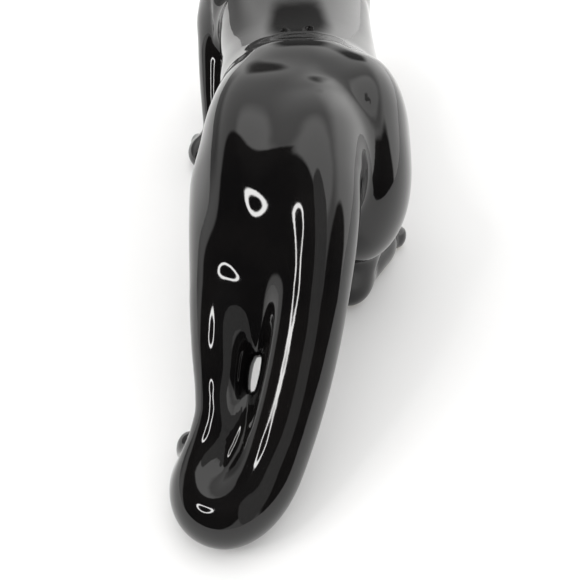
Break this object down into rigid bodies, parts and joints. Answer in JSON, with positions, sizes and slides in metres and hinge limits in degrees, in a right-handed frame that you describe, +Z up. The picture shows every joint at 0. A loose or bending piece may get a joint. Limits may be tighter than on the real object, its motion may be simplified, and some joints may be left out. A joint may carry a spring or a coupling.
{
  "type": "tv lamp",
  "caption": "Glossy black ceramic figural TV lamp: a stalking panther with its tail curled round a hind paw, lit from inside by a small bulb behind glass eyes.",
  "frame": {"origin": "centre of the footprint of the bounding box, on the resting plane", "axes": "+Z up; +Y the way the panther heads; +X its right side"},
  "size_m": [0.1368, 0.5348, 0.1507],
  "materials": {
    "black_glaze": "gloss",
    "green_glass": "gloss",
    "felt": "matte",
    "cork": "matte",
    "zinc_steel": "satin",
    "brass": "satin",
    "phenolic": "gloss",
    "paper": "matte",
    "rubber": "matte",
    "cord_jacket": "satin",
    "clear_glass": "gloss",
    "black_glass": "gloss",
    "tungsten": "satin"
  },
  "bodies": {
    "lamp": {"figure_shell": "black_glaze", "eye_left": "green_glass", "eye_right": "green_glass", "foot_pads": "felt", "belly_gasket": "cork", "belly_plate": "zinc_steel", "clamp_bars": "zinc_steel", "plate_screws": "brass", "socket_bracket": "zinc_steel", "bracket_rivets": "brass", "cord_bushing": "rubber", "socket_nipple": "brass", "nipple_nut": "brass", "lock_washer": "zinc_steel", "socket_cap": "brass", "socket_core": "phenolic", "insulating_sleeve": "paper", "socket_shell": "brass", "screw_shell": "brass", "centre_contact": "brass", "terminal_screws": "brass", "lamp_cord": "cord_jacket", "plug_cord": "cord_jacket", "switch_bottom": "phenolic", "switch_top": "phenolic", "switch_contacts": "brass", "switch_screw": "brass", "switch_nut": "brass", "plug_body": "phenolic", "plug_disc": "paper", "plug_blades": "brass"},
    "bulb": {"bulb_cap": "brass", "bulb_insulator": "black_glass", "bulb_contact": "brass", "bulb_envelope": "clear_glass", "bulb_stem": "clear_glass", "bulb_filament": "tungsten"},
    "wheel": {"switch_wheel": "phenolic"}
  },
  "joints": [
    {"name": "switch_wheel_turn", "type": "hinge", "parent": "lamp", "child": "wheel", "pos_m": [0.0074, 0.17237, 0.0086], "axis": [0, 0, 1], "continuous": true},
    {"name": "bulb_unscrew", "type": "hinge", "parent": "lamp", "child": "bulb", "pos_m": [0.0079, 0.08937, 0.086], "axis": [0, 1, 0], "range_deg": [-1080, 0]}
  ]
}
